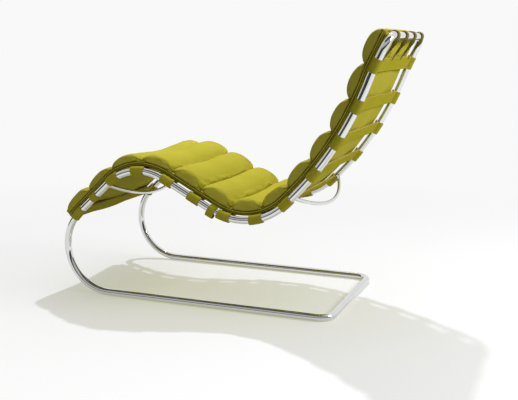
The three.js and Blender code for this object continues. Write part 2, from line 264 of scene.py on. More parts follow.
chromeSet = {
    "colour": (0.7, 0.705, 0.71),
    "roughness": 0.05,
    "hazeScale": 9,
    "hazeTints": (0.985, 1.01),
    "wearScale": 60,
    "wearDetail": 6,
    "wearShares": (0.6, 1.5),
}
leatherSet = {
    "cloudScale": 6,
    "cloudTints": (0.95, 1.04),
    "fleckScale": 220,
    "fleckDetail": 5,
    "fleckMost": 0.22,
    "fleckTint": 0.72,
    "wearScale": 45,
    "wearShares": (0.9, 1.1),
    "creaseScale": 55,
    "creaseDetail": 4,
    "creaseStrength": 0.3,
    "grainStrength": 0.5,
}


def newMaterial(name):
    material = bpy.data.materials.new(name)
    material.use_nodes = True
    nodes, links = material.node_tree.nodes, material.node_tree.links
    shader = nodes["Principled BSDF"]
    place = nodes.new("ShaderNodeTexCoord").outputs["Object"]
    return material, nodes, links, shader, place


def noiseNode(nodes, links, place, scale, detail=3):
    texture = nodes.new("ShaderNodeTexNoise")
    texture.inputs["Scale"].default_value = scale
    texture.inputs["Detail"].default_value = detail
    links.new(place, texture.inputs["Vector"])
    return texture.outputs["Fac"]


def rangeNode(nodes, links, value, low, high, start=0.3, end=0.7):
    spread = nodes.new("ShaderNodeMapRange")
    for name, number in (
        ("From Min", start), ("From Max", end), ("To Min", low), ("To Max", high)
    ):
        spread.inputs[name].default_value = number
    links.new(value, spread.inputs["Value"])
    return spread.outputs["Result"]


def mathNode(nodes, links, operation, *values):
    result = nodes.new("ShaderNodeMath")
    result.operation = operation
    for slot, value in zip(result.inputs, values):
        if isinstance(value, (int, float)):
            slot.default_value = value
        else:
            links.new(value, slot)
    return result.outputs["Value"]


def vectorNode(nodes, links, operation, value, other=None):
    result = nodes.new("ShaderNodeVectorMath")
    result.operation = operation
    links.new(value, result.inputs[0])
    if other:
        result.inputs[1].default_value = other
    return result.outputs["Value"]


def mixNode(nodes, links, share, first, second):
    mixed = nodes.new("ShaderNodeMix")
    mixed.data_type = "RGBA"
    colours = [socket for socket in mixed.inputs if socket.type == "RGBA"]
    for slot, value in zip([mixed.inputs["Factor"], *colours], (share, first, second)):
        if isinstance(value, (int, float, tuple)):
            slot.default_value = value
        else:
            links.new(value, slot)
    return [socket for socket in mixed.outputs if socket.type == "RGBA"][0]


def bumpNode(nodes, links, height, strength, depth, below=None, invert=False):
    bump = nodes.new("ShaderNodeBump")
    bump.inputs["Strength"].default_value = strength
    bump.inputs["Distance"].default_value = depth
    bump.invert = invert
    links.new(height, bump.inputs["Height"])
    if below:
        links.new(below, bump.inputs["Normal"])
    return bump.outputs["Normal"]


def tint(colour, factor):
    return (*[min(1, part * factor) for part in colour], 1)


# A colour that drifts between two tints of it, in soft clouds
def cloudedColour(nodes, links, place, colour, scale, tints):
    share = rangeNode(nodes, links, noiseNode(nodes, links, place, scale), 0, 1)
    return mixNode(nodes, links, share, tint(colour, tints[0]), tint(colour, tints[1]))


def makeChrome():
    material, nodes, links, shader, place = newMaterial("polishedChrome")
    shader.inputs["Metallic"].default_value = 1
    colour = cloudedColour(
        nodes, links, place, chromeSet["colour"], chromeSet["hazeScale"], chromeSet["hazeTints"]
    )
    links.new(colour, shader.inputs["Base Color"])
    wear = noiseNode(nodes, links, place, chromeSet["wearScale"], chromeSet["wearDetail"])
    low, high = [chromeSet["roughness"] * share for share in chromeSet["wearShares"]]
    links.new(rangeNode(nodes, links, wear, low, high), shader.inputs["Roughness"])
    return material


# Leather: drifting colour, pebbled grain and soft creases. Cut straps have streaks that run
# along the strap, across the chair, so their noise is drawn out along Y.
def makeLeather(name):
    setting = finishes[name]
    material, nodes, links, shader, place = newMaterial(name)
    shader.inputs["Specular IOR Level"].default_value = setting["specular"]
    mapping = nodes.new("ShaderNodeMapping")
    mapping.inputs["Scale"].default_value = (1, setting["streak"], 1)
    links.new(place, mapping.inputs["Vector"])
    drawn = mapping.outputs["Vector"]
    colour = cloudedColour(
        nodes, links, place, setting["colour"], leatherSet["cloudScale"], leatherSet["cloudTints"]
    )
    fleck = noiseNode(nodes, links, drawn, leatherSet["fleckScale"], leatherSet["fleckDetail"])
    share = rangeNode(nodes, links, fleck, leatherSet["fleckMost"], 0)
    dark = tint(setting["colour"], leatherSet["fleckTint"])
    links.new(mixNode(nodes, links, share, colour, dark), shader.inputs["Base Color"])
    wear = noiseNode(nodes, links, place, leatherSet["wearScale"])
    low, high = [setting["roughness"] * share for share in leatherSet["wearShares"]]
    links.new(rangeNode(nodes, links, wear, low, high), shader.inputs["Roughness"])
    crease = noiseNode(nodes, links, drawn, leatherSet["creaseScale"], leatherSet["creaseDetail"])
    soft = bumpNode(nodes, links, crease, leatherSet["creaseStrength"], setting["crease"])
    pebble = nodes.new("ShaderNodeTexVoronoi")
    pebble.feature = "SMOOTH_F1"
    pebble.inputs["Scale"].default_value = 1 / setting["grain"]
    links.new(place, pebble.inputs["Vector"])
    fine = bumpNode(
        nodes, links, pebble.outputs["Distance"], leatherSet["grainStrength"],
        setting["grainDepth"], below=soft, invert=True,
    )
    links.new(fine, shader.inputs["Normal"])
    return material


chrome = makeChrome()
cushionLeather = makeLeather("cushionLeather")
bandLeather = makeLeather("bandLeather")
bandEdge = makeLeather("bandCutEdge")
shadedLoopLeather = makeLeather("shadedLoopLeather")
seamShadeLeather = makeLeather("seamShadeLeather")


def dress(piece, material):
    piece.data.materials.clear()
    piece.data.materials.append(material)
    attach(piece, "root")


# Frame tube, in two halves that meet in the middle of the floor bar and of the top bar
print("frame tube")
tubeSet = {"sides": 40, "seam": 0.3 * mm, "cornerStep": 5}


def frameHalf(name, side):
    across = Vector((0, side, 0))
    place = Vector((floorBarX, side * tubeSet["seam"] / 2, tubeRadius))
    deselectAll()
    bpy.ops.mesh.primitive_circle_add(
        vertices=tubeSet["sides"], radius=tubeRadius, location=place, rotation=(math.pi / 2, 0, 0)
    )
    piece = startPiece(name)
    bpy.ops.object.mode_set(mode="EDIT")
    corner = chairLine["corner"]
    halfBar = halfSpacing - corner - tubeSet["seam"] / 2
    quarter = math.pi / 2
    cornerSteps = stepsFor(quarter, tubeSet["cornerStep"])
    place = pullStraight(place, across, halfBar)
    back = Vector((-1, 0, 0))
    place, direction = pullBend(place, across, back, corner, quarter, cornerSteps)
    place = pullStraight(place, direction, chairLine["floorRail"] - corner)
    bends = chairLine["bends"]
    for size, turn in bends[:-1]:
        if not turn:
            place = pullStraight(place, direction, size)
            continue
        out = Vector((-direction.z, 0, direction.x))
        towards = out * math.copysign(1, turn)
        angle = math.radians(abs(turn))
        wide = size >= chairLine["wideBend"]
        steps = stepsFor(angle, chairLine["wideSpinStep" if wide else "spinStep"])
        place, direction = pullBend(place, direction, towards, size, angle, steps)
    place = pullStraight(place, direction, bends[-1][0] - corner)
    place, direction = pullBend(place, direction, -across, corner, quarter, cornerSteps)
    pullStraight(place, direction, halfBar)
    bpy.ops.object.mode_set(mode="OBJECT")
    finishShell(piece)
    return piece


for sideName, side in (("near", -1), ("far", 1)):
    half = frameHalf("frameTube_" + sideName, side)
    dress(half, chrome)
    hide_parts("frame_tube_" + sideName)


# Bowed tie bars
print("tie bars")
tieSet = {
    "diameter": 13 * mm,
    "sides": 24,
    "steps": 40,
    "standoff": 2 * mm,
    "knee": {"share": 0.3021, "side": -1, "sag": 84 * mm},
    "lumbar": {"share": 0.6651, "side": 1, "sag": 77 * mm},
    "gap": 0.3 * mm,
    "smoothAngle": 50,
}
bandSet = {
    "width": 47 * mm,
    "thickness": 3.2 * mm,
    "wrapGap": 0.3 * mm,
    "wrapSides": 16,  # the solids' eyes have this many flats
    "rise": 3 * mm,
    "fillet": 8 * mm,
    "layerGap": 0.15 * mm,
    "corner": 0.7 * mm,
    "widthCuts": 10,
    "wrapStep": 15,  # degrees
    "runSteps": 8,
    "edgeSlope": 0.8,  # a face that leans more than this to the side is a cut edge
    "smoothAngle": 20,  # under the steps of a strip's rounded corners
    "wave": 0.5 * mm,
    "waveScale": (12, 9, 7.3),
    "waveClear": 30 * mm,
    "waveRise": 4,
    "places": [
        0.2012, 0.3021, 0.3569, 0.4176, 0.4772, 0.5407,
        0.6018, 0.6651, 0.7375, 0.806, 0.8741, 0.9459,
    ],
}


def tieBar(name, place, sag):
    bowRadius = (halfSpacing**2 + sag**2) / (2 * sag)
    reach = math.asin(halfSpacing / bowRadius)
    x, z, heading = lineAt(place)
    out = Vector((-math.sin(heading), 0, math.cos(heading)))
    along = Vector((math.cos(heading), 0, math.sin(heading)))
    across = Vector((0, 1, 0))
    rail = Vector((x, 0, z))
    start = rail - across * halfSpacing
    direction = across * math.cos(reach) - out * math.sin(reach)
    deselectAll()
    bpy.ops.mesh.primitive_circle_add(
        vertices=tieSet["sides"],
        radius=tieSet["diameter"] / 2,
        location=start,
        rotation=direction.to_track_quat("Z", "Y").to_euler(),
    )
    piece = startPiece(name)
    bpy.ops.object.mode_set(mode="EDIT")
    towards = along.cross(direction)
    if towards.dot(out) < 0:
        towards = -towards
    pullBend(start, direction, towards, bowRadius, 2 * reach, tieSet["steps"])
    bpy.ops.object.mode_set(mode="OBJECT")
    # The ends are coped: each end's ring backs off along the bar until it clears the rail
    clear = tubeRadius + tieSet["gap"]
    for vertex in piece.data.vertices:
        side = math.copysign(1, vertex.co.y)
        inward = Vector((0, -side, 0)) * math.cos(reach) - out * math.sin(reach)
        offset = vertex.co - rail - Vector((0, side * halfSpacing, 0))
        offset -= along * offset.dot(along)
        middle = offset.dot(inward)
        apart = offset.length_squared - middle**2
        if apart < clear**2:
            needed = math.sqrt(clear**2 - apart)
            if middle < needed:
                vertex.co += inward * (needed - middle)
    finishShell(piece, tieSet["smoothAngle"])
    return piece


for tieName in ("knee", "lumbar"):
    setting = tieSet[tieName]
    offset = bandSet["width"] / 2 + tieSet["diameter"] / 2 + tieSet["standoff"]
    place = lineLength * setting["share"] + setting["side"] * offset
    bar = tieBar("tieBar_" + tieName, place, setting["sag"])
    dress(bar, chrome)
    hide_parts("tie_bar_" + tieName)


# Leather bands: one strap turned round both rails, its two layers lying flat together
print("bands")
halfSide = math.pi / bandSet["wrapSides"]
wrapRadius = math.hypot(tubeRadius, tubeRadius * math.tan(halfSide)) + bandSet["wrapGap"]
wrapRadius /= math.cos(halfSide)
bandOuter = wrapRadius + bandSet["thickness"]


# The outline of a strip's section, standing at a place across its path, ready to be pulled.
# Its width lies along X, or along Y where the section is turned by a quarter.
def stripSection(name, width, thickness, place, corner, cuts, turn=0):
    deselectAll()
    bpy.ops.mesh.primitive_plane_add(size=1)
    bpy.context.object.scale = (width, thickness, 1)
    piece = startPiece(name)
    piece.rotation_euler = (math.pi / 2, 0, turn)
    piece.location = place
    bpy.ops.object.transform_apply(location=True, rotation=True, scale=True)
    bpy.ops.object.mode_set(mode="EDIT")
    bpy.ops.mesh.select_all(action="SELECT")
    bpy.ops.mesh.bevel(offset=corner, segments=2, affect="VERTICES")
    bpy.ops.mesh.delete(type="ONLY_FACE")
    mesh = bmesh.from_edit_mesh(piece.data)
    bpy.ops.mesh.select_mode(type="EDGE")
    for edge in mesh.edges:
        edge.select = edge.calc_length() > width / 2
    mesh.select_flush_mode()
    bmesh.update_edit_mesh(piece.data)
    bpy.ops.mesh.subdivide(number_cuts=cuts)
    bpy.ops.mesh.select_mode(type="VERT")
    bpy.ops.mesh.select_all(action="SELECT")
    return piece


# Gives a strip its face and its cut edges, while it still lies flat
def markEdges(piece, axis):
    piece.data.materials.clear()
    piece.data.materials.append(bandLeather)
    piece.data.materials.append(bandEdge)
    for polygon in piece.data.polygons:
        polygon.material_index = int(abs(polygon.normal[axis]) > bandSet["edgeSlope"])


def dressStrip(piece, node):
    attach(piece, "root")
    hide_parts(node)


def flatBand(name):
    thick, rise, gap = bandSet["thickness"], bandSet["rise"], bandSet["layerGap"] / 2
    fillet = bandSet["fillet"]
    eyeRadius, filletRadius = wrapRadius + thick / 2, fillet + thick / 2
    reach = bandOuter + fillet
    leave = math.acos((rise + gap + thick + fillet) / reach)
    arrive = math.acos((fillet - rise + gap + thick) / reach)
    frontRun = halfSpacing - reach * math.sin(leave)
    rearRun = halfSpacing - reach * math.sin(arrive)
    place = Vector((0, 0, rise + gap + thick / 2))
    piece = stripSection(
        name, bandSet["width"], thick, place, bandSet["corner"], bandSet["widthCuts"]
    )
    step, runSteps = bandSet["wrapStep"], bandSet["runSteps"]
    for side, first, last, firstRun, lastRun in (
        (1, leave, arrive, frontRun, rearRun), (-1, arrive, leave, rearRun, frontRun)
    ):
        rail = Vector((0, side * halfSpacing, 0))
        heading = Vector((0, side, 0))
        place = pullStraight(place, heading, firstRun, runSteps)
        away = Vector((0, 0, side))
        place, heading = pullBend(
            place, heading, away, filletRadius, first, stepsFor(first, step)
        )
        turn = math.pi + first + last
        towards = (rail - place).normalized()
        place, heading = pullBend(
            place, heading, towards, eyeRadius, turn, stepsFor(turn, step)
        )
        away = (place - rail).normalized()
        place, heading = pullBend(place, heading, away, filletRadius, last, stepsFor(last, step))
        place = pullStraight(place, heading, lastRun, runSteps)
    bpy.ops.object.mode_set(mode="OBJECT")
    finishShell(piece, bandSet["smoothAngle"])
    markEdges(piece, 0)
    return piece


bandPattern = flatBand("bandPattern")
alongScale, acrossScale, bandStep = bandSet["waveScale"]
for index, share in enumerate(bandSet["places"]):
    band = copyPiece(bandPattern, "slingBand_%02d" % (index + 1))
    for vertex in band.data.vertices:
        flat = max(0, 1 - abs(vertex.co.y) / (halfSpacing - bandSet["waveClear"]))
        x, y, z = vertex.co
        wave = noise.noise(Vector((x * alongScale, y * acrossScale, index * bandStep)))
        vertex.co.z += bandSet["wave"] * wave * min(1, bandSet["waveRise"] * flat)
    layOnLine(band, lineLength * share)
    dressStrip(band, "sling_band_%02d" % (index + 1))
bpy.data.objects.remove(bandPattern)


# Belts that hold the cushion to the rails: a tab under the cushion and a turn round the tube
print("belts")
beltSet = {
    "width": 27 * mm,
    "thickness": 2.7 * mm,
    "tab": 28 * mm,
    "knee": {"share": 0.2493, "slack": 0},
    "seat": {"share": 0.5165, "slack": 11 * mm},
    "tuck": 54,  # degrees
    "tabSteps": 3,
    "corner": 0.6 * mm,
    "widthCuts": 6,
    "wrapStep": 15,  # degrees
}


def flatBelt(name, side, slack):
    middle = wrapRadius + beltSet["thickness"] / 2
    outward, down = Vector((0, side, 0)), Vector((0, 0, -1))
    place = Vector((0, side * (halfSpacing - beltSet["tab"]), middle))
    piece = stripSection(
        name, beltSet["width"], beltSet["thickness"], place, beltSet["corner"],
        beltSet["widthCuts"],
    )
    step = beltSet["wrapStep"]
    place = pullStraight(place, outward, beltSet["tab"], beltSet["tabSteps"])
    place, heading = pullBend(
        place, outward, down, middle, math.pi / 2, stepsFor(math.pi / 2, step)
    )
    if slack:
        place = pullStraight(place, heading, slack)
    place, heading = pullBend(
        place, heading, -outward, middle, math.pi, stepsFor(math.pi, step)
    )
    if slack:
        place = pullStraight(place, heading, slack)
    tuck = math.radians(beltSet["tuck"])
    pullBend(place, heading, outward, middle, tuck, stepsFor(tuck, step))
    bpy.ops.object.mode_set(mode="OBJECT")
    finishShell(piece, bandSet["smoothAngle"])
    markEdges(piece, 0)
    return piece


for beltName in ("knee", "seat"):
    setting = beltSet[beltName]
    for sideName, side in (("near", -1), ("far", 1)):
        belt = flatBelt("cushionBelt_%s_%s" % (beltName, sideName), side, setting["slack"])
        layOnLine(belt, lineLength * setting["share"])
        dressStrip(belt, "cushion_belt_%s_%s" % (beltName, sideName))


# Head loops: from under the cushion round the top bar, down to the back of the topmost band
print("head loops")
headLoopSet = {
    "count": 4,
    "width": 22 * mm,
    "thickness": 3 * mm,
    "spacing": 145 * mm,
    "frontLeg": 38 * mm,
    "lap": 7 * mm,
    "ease": 4 * mm,
    "gap": 0.3 * mm,
    "easeRadius": 8 * mm,
    "tailShare": 0.35,
    "taperSpeed": 2.2,
    "twist": 75,  # degrees
    "corner": 0.6 * mm,
    "widthCuts": 6,
    "wrapStep": 12,  # degrees
    "frontSteps": 4,
    "legSteps": 20,
    "easeSteps": 2,
}


def flatHeadLoop(name):
    thick = headLoopSet["thickness"]
    middle = wrapRadius + thick / 2
    bandEnd = lineLength * (bandSet["places"][-1] - 1) + bandSet["width"] / 2
    easeFrom = bandEnd + headLoopSet["ease"]
    tail = bandEnd - headLoopSet["lap"]
    lapInner = bandSet["thickness"] - bandSet["rise"] + headLoopSet["gap"]
    reach = math.hypot(easeFrom, lapInner)
    leave = math.atan2(-lapInner, easeFrom) + math.acos(wrapRadius / reach)
    along, down = Vector((1, 0, 0)), Vector((0, 0, -1))
    place = Vector((-headLoopSet["frontLeg"], 0, middle))
    piece = stripSection(
        name, headLoopSet["width"], thick, place, headLoopSet["corner"],
        headLoopSet["widthCuts"], math.pi / 2,
    )
    place = pullStraight(place, along, headLoopSet["frontLeg"], headLoopSet["frontSteps"])
    turn = math.pi / 2 - leave
    steps = stepsFor(turn, headLoopSet["wrapStep"])
    place, heading = pullBend(place, along, down, middle, turn, steps)
    tilt = math.atan2(heading.z, -heading.x)
    leg = math.sqrt(reach**2 - wrapRadius**2)
    leg -= headLoopSet["easeRadius"] * math.tan(tilt / 2)
    legStart, legHeading = place, heading
    place = pullStraight(place, heading, leg, headLoopSet["legSteps"])
    towards = Vector((-math.sin(tilt), 0, -math.cos(tilt)))
    place, heading = pullBend(
        place, heading, towards, headLoopSet["easeRadius"], tilt, headLoopSet["easeSteps"]
    )
    pullStraight(place, heading, place.x - tail)
    bpy.ops.object.mode_set(mode="OBJECT")
    finishShell(piece, bandSet["smoothAngle"])
    markEdges(piece, 1)
    for vertex in piece.data.vertices:
        if vertex.co.z > 0:
            continue
        share = min(1, max(0, headLoopSet["taperSpeed"] * vertex.co.x / tail))
        vertex.co.y *= 1 + (headLoopSet["tailShare"] - 1) * share
        passed = (vertex.co - legStart).dot(legHeading) / leg
        if 0 < passed < 1:
            centre = legStart + legHeading * leg * passed
            angle = math.radians(headLoopSet["twist"]) * math.sin(math.pi * passed)
            turned = Matrix.Rotation(angle, 3, legHeading)
            vertex.co = centre + turned @ (vertex.co - centre)
    return piece


loopPattern = flatHeadLoop("loopPattern")
for index in range(headLoopSet["count"]):
    loop = copyPiece(loopPattern, "headLoop_%d" % (index + 1))
    across = headLoopSet["spacing"] * (index - (headLoopSet["count"] - 1) / 2)
    for vertex in loop.data.vertices:
        vertex.co.y += across
    layOnLine(loop, lineLength)
    # The loops' darker leather is painted shade
    loop.data.materials[0] = shadedLoopLeather
    dressStrip(loop, "head_loop_%d" % (index + 1))
bpy.data.objects.remove(loopPattern)


# Cushion: between the rails it settles down on to the bands' flat run
print("cushion base")
cushionSet = {
    "width": 544 * mm,
    "startShare": 0.1805,
    "overhang": 4 * mm,
    "gap": 0.3 * mm,
    "base": 14 * mm,
    "baseEdge": 4 * mm,
    "baseStep": 8 * mm,
    "baseCutsAcross": 48,
    "baseCutsUp": 3,
    "bevelSteps": 3,
    "bulge": 0.5 * mm,
    "bulgeWithin": 0.1 * mm,
    "shadedSideSlope": 0.5,  # a face that leans more than this to the side has the bands' darker leather, as painted shade
    # How far it settles: in the middle, and how far from the top bar that eases off
    "drape": 10 * mm,
    "drapeHalf": 240 * mm,
    "drapeEnd": (105 * mm, 42 * mm),
    # How far its edges sink between the rails, and where along the line that comes and goes
    "sink": 4 * mm,
    "sinkStart": (640 * mm, 760 * mm),
    "sinkEnd": (1130 * mm, 1280 * mm),
}
cushionLift = bandOuter + cushionSet["gap"]
cushionTop = cushionLift + cushionSet["base"]
cushionStart = lineLength * cushionSet["startShare"]
cushionEnd = lineLength + cushionSet["overhang"]


def smoothShare(value, none, full):
    share = min(1, max(0, (value - none) / (full - none)))
    return share * share * (3 - 2 * share)


def cushionDrape(distance, across):
    inside = min(1, abs(across) / cushionSet["drapeHalf"])
    risen, gone = cushionSet["drapeEnd"]
    middle = cushionSet["drape"] * smoothShare(lineLength - distance, gone, risen)
    edge = cushionSet["sink"] * smoothShare(distance, *cushionSet["sinkStart"])
    edge *= 1 - smoothShare(distance, *cushionSet["sinkEnd"])
    return edge + (middle - edge) * math.cos(math.pi / 2 * inside) ** 2


def layCushion(piece, distance):
    for vertex in piece.data.vertices:
        vertex.co.z -= cushionDrape(distance + vertex.co.x, vertex.co.y)
    layOnLine(piece, distance)


def cutEdges(piece, wanted, cuts):
    mesh = bmesh.from_edit_mesh(piece.data)
    bpy.ops.mesh.select_mode(type="EDGE")
    for edge in mesh.edges:
        edge.select = wanted(edge.verts[1].co - edge.verts[0].co)
    mesh.select_flush_mode()
    bmesh.update_edit_mesh(piece.data)
    bpy.ops.mesh.subdivide(number_cuts=cuts)


def flatBase(name):
    length, width, thick = cushionEnd - cushionStart, cushionSet["width"], cushionSet["base"]
    deselectAll()
    bpy.ops.mesh.primitive_cube_add(size=1, location=(length / 2, 0, cushionLift + thick / 2))
    bpy.context.object.scale = (length, width, thick)
    piece = startPiece(name)
    bpy.ops.object.mode_set(mode="EDIT")
    bpy.ops.mesh.select_all(action="SELECT")
    bpy.ops.mesh.bevel(
        offset=cushionSet["baseEdge"], segments=cushionSet["bevelSteps"], affect="EDGES"
    )
    cutEdges(piece, lambda way: abs(way.x) > length / 2, int(length / cushionSet["baseStep"]))
    cutEdges(piece, lambda way: abs(way.y) > width / 2, cushionSet["baseCutsAcross"])
    cutEdges(piece, lambda way: abs(way.z) > thick / 3, cushionSet["baseCutsUp"])
    bpy.ops.object.mode_set(mode="OBJECT")
    finishShell(piece)
    inner = thick / 2 - cushionSet["baseEdge"]
    for vertex in piece.data.vertices:
        if abs(vertex.co.y) > width / 2 - cushionSet["bulgeWithin"]:
            height = (vertex.co.z - cushionLift - thick / 2) / inner
            bulge = cushionSet["bulge"] * (1 - min(1, height * height))
            vertex.co.y += math.copysign(bulge, vertex.co.y)
    return piece


base = flatBase("cushionBase")
dress(base, cushionLeather)
# The base's sides take the bands' darker leather: painted shade on the recessed sides
base.data.materials.append(bandLeather)
for polygon in base.data.polygons:
    polygon.material_index = int(abs(polygon.normal.y) > cushionSet["shadedSideSlope"])
layCushion(base, cushionStart)
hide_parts("cushion_base")


# The piping, and the seams as dark cords sewn round the base, their darkness painted shade:
# each one's diameter, how far it stands proud of the side, and the height of its middle
print("piping")
cordSet = {
    "cushionPiping": (4.4 * mm, 2.2 * mm, 11.2 * mm),
    "cushionSeamShade_top": (3.4 * mm, 1 * mm, 14.6 * mm),
    "cushionSeamShade_side": (2.6 * mm, 1.2 * mm, 7.8 * mm),
    "cushionSeamShade_low": (3 * mm, 0.9 * mm, 1.9 * mm),
}
cordShape = {"sides": 12, "corner": 13 * mm, "cornerSteps": 5, "step": 8 * mm, "endStep": 16 * mm}


def flatCord(name, diameter, proud, height):
    out = proud - diameter / 2
    corner = cordShape["corner"]
    half = cushionSet["width"] / 2 + out
    length = cushionEnd - cushionStart + 2 * out
    deselectAll()
    place = Vector((corner - out, -half, height))
    bpy.ops.mesh.primitive_circle_add(
        vertices=cordShape["sides"], radius=diameter / 2, location=place,
        rotation=(0, math.pi / 2, 0),
    )
    piece = startPiece(name)
    bpy.ops.object.mode_set(mode="EDIT")
    heading = Vector((1, 0, 0))
    for run in (length, 2 * half, length, 2 * half):
        straight = run - 2 * corner
        step = cordShape["step" if run == length else "endStep"]
        place = pullStraight(place, heading, straight, int(straight / step))
        towards = Vector((-heading.y, heading.x, 0))
        place, heading = pullBend(
            place, heading, towards, corner, math.pi / 2, cordShape["cornerSteps"]
        )
    bpy.ops.object.mode_set(mode="OBJECT")
    finishShell(piece)
    return piece


for name, (diameter, proud, height) in cordSet.items():
    cord = flatCord(name, diameter, proud, cushionLift + height)
    layCushion(cord, cushionStart)
    # The seam cords' dark leather is painted shade in the seams; the piping keeps the cushion's
    # leather
    leather = cushionLeather if name == "cushionPiping" else seamShadeLeather
    dress(cord, leather)


# Thirteen stuffed rolls, sewn down side by side at equal steps along the cushion
print("cushion rolls")
rollSet = {
    "count": 13,
    "height": 39 * mm,
    "edgeHeight": 5 * mm,
    "valleyShare": 0.19,
    "toeValleyShare": 0.6,
    "headValleyShare": 0.1,
    "valleyDip": 0.4,
    "swellPower": 0.3,
    "lower": {2: 5 * mm, 3: 7 * mm, 4: 7 * mm, 5: 2 * mm},  # the knee stretches these rolls
    "endRound": 40 * mm,
    "endPower": 2.6,
    "endInset": 2.5 * mm,
    "pucker": 5 * mm,
    "seam": 0.3 * mm,
    "crownPower": 1.95,
    "floorSteps": 10,
    "wallSteps": 3,
    "crownSteps": 26,
    "acrossSteps": 72,
    "endSteps": 16,
    "lineSamples": 2000,
    "lump": 0.7 * mm,
    "lumpScale": (16, 11, 5.7),
    "smoothAngle": 60,
    "knot": {
        "up": 13 * mm,
        "depth": 7 * mm,
        "reach": 18 * mm,
        "core": 4 * mm,
        "creases": 6,
        "dent": 13 * mm,
        "dentReach": 11 * mm,
    },
    "cloth": {
        "frames": 20,
        "pressure": 3,
        "growth": -0.01,
        "stiffness": 20,
        "bending": 1.5,
        "cap": 2.5 * mm,
        "heldKnot": 17 * mm,
    },
}
rollLift = cushionTop + cushionSet["gap"]


def rollSeams():
    lift = cushionLift + cushionSet["base"] / 2
    samples = rollSet["lineSamples"]
    span = cushionEnd - cushionStart
    distances = [cushionStart + span * i / samples for i in range(samples + 1)]
    lengths = [0.0]
    for i in range(samples):
        step = onLine(distances[i + 1], 0, lift) - onLine(distances[i], 0, lift)
        lengths.append(lengths[-1] + step.length)
    seams, at = [], 0
    for roll in range(rollSet["count"] + 1):
        wanted = lengths[-1] * roll / rollSet["count"]
        while at < samples and lengths[at] < wanted:
            at += 1
        seams.append(distances[at])
    return seams


# Stations across the chair, as a place and the angle that the rounded end has turned there
def rollStations():
    flat = cushionSet["width"] / 2 - rollSet["endInset"] - rollSet["endRound"]
    steps, endSteps = rollSet["acrossSteps"], rollSet["endSteps"]
    middle = [(-flat + 2 * flat * i / steps, 0.0) for i in range(steps + 1)]
    angles = [math.pi / 2 * i / endSteps for i in range(1, endSteps + 1)]
    ends = [(flat + rollSet["endRound"] * math.sin(angle), angle) for angle in angles]
    return [(-y, angle) for y, angle in reversed(ends)] + middle + ends


def rollHeight(start, end, number):
    low = (onLine(end, 0, rollLift) - onLine(start, 0, rollLift)).length
    high = rollLift + rollSet["height"]
    crest = (onLine(end, 0, high) - onLine(start, 0, high)).length
    height = rollSet["height"] * (low / crest) ** rollSet["swellPower"]
    return height - rollSet["lower"].get(number, 0)


# How far the leather stands out where it is gathered into a knot at a seam's end
def knotCrease(fromSeam, fromEnd):
    knot = rollSet["knot"]
    apart = math.hypot(fromSeam, fromEnd - knot["up"])
    angle = math.atan2(fromSeam, fromEnd - knot["up"])
    fade = math.exp(-apart / knot["reach"]) * (1 - math.exp(-apart / knot["core"]))
    dent = knot["dent"] * math.exp(-((apart / knot["dentReach"]) ** 2))
    return knot["depth"] * math.cos(knot["creases"] * angle) * fade - dent


# One section of a roll: its flat underside, a wall, the crown and the other wall. The steps
# of the crown that lie in a knot are given too.
def rollRing(number, length, full, valleyShares, y, angle):
    power, seam = rollSet["endPower"], rollSet["seam"] / 2
    fullness = max(0, 1 - math.sin(angle) ** power) ** (1 / power)
    height = rollSet["edgeHeight"] + (full - rollSet["edgeHeight"]) * fullness
    reach = length / 2 - seam - rollSet["pucker"] * (1 - fullness)
    dip = math.cos(math.pi / 2 * min(1, abs(y) / cushionSet["drapeHalf"])) ** 2
    dip = 1 - rollSet["valleyDip"] * dip
    fromEnd = (math.pi / 2 - angle) * rollSet["endRound"]
    fromEnd += max(0, cushionSet["width"] / 2 - rollSet["endRound"] - abs(y))
    lean = Vector((0, math.copysign(math.sin(angle), y), math.cos(angle)))
    alongScale, acrossScale, rollStep = rollSet["lumpScale"]
    startShare, endShare = valleyShares
    crown, inKnot = [], []
    for step in range(rollSet["crownSteps"] + 1):
        share = math.cos(math.pi * step / rollSet["crownSteps"])
        mix = (1 + share) / 2
        valley = height * dip * (startShare * (1 - mix) + endShare * mix)
        rise = math.sqrt(max(0, 1 - abs(share) ** rollSet["crownPower"]))
        point = Vector((
            length / 2 + reach * share, y, rollLift + valley + (height - valley) * rise
        ))
        fromSeam = math.hypot(reach * (1 - abs(share)), (height - valley) * rise)
        spot = Vector((point.x * alongScale, y * acrossScale, number * rollStep))
        lump = rollSet["lump"] * noise.noise(spot) * rise
        point += lean * (lump + knotCrease(fromSeam, fromEnd))
        point.x = min(length - seam, max(seam, point.x))
        crown.append(point)
        fromKnot = math.hypot(fromSeam, fromEnd - rollSet["knot"]["up"])
        if fromKnot < rollSet["cloth"]["heldKnot"]:
            inKnot.append(step)
    floorSteps = rollSet["floorSteps"]
    floor = [
        Vector((seam + (length - 2 * seam) * i / floorSteps, y, rollLift))
        for i in range(floorSteps + 1)
    ]
    farWall, nearWall = wallPoints(floor[-1], crown[0]), wallPoints(crown[-1], floor[0])
    return floor + farWall + crown + nearWall, inKnot


def wallPoints(low, high):
    steps = rollSet["wallSteps"] + 1
    return [low.lerp(high, i / steps) for i in range(1, steps)]


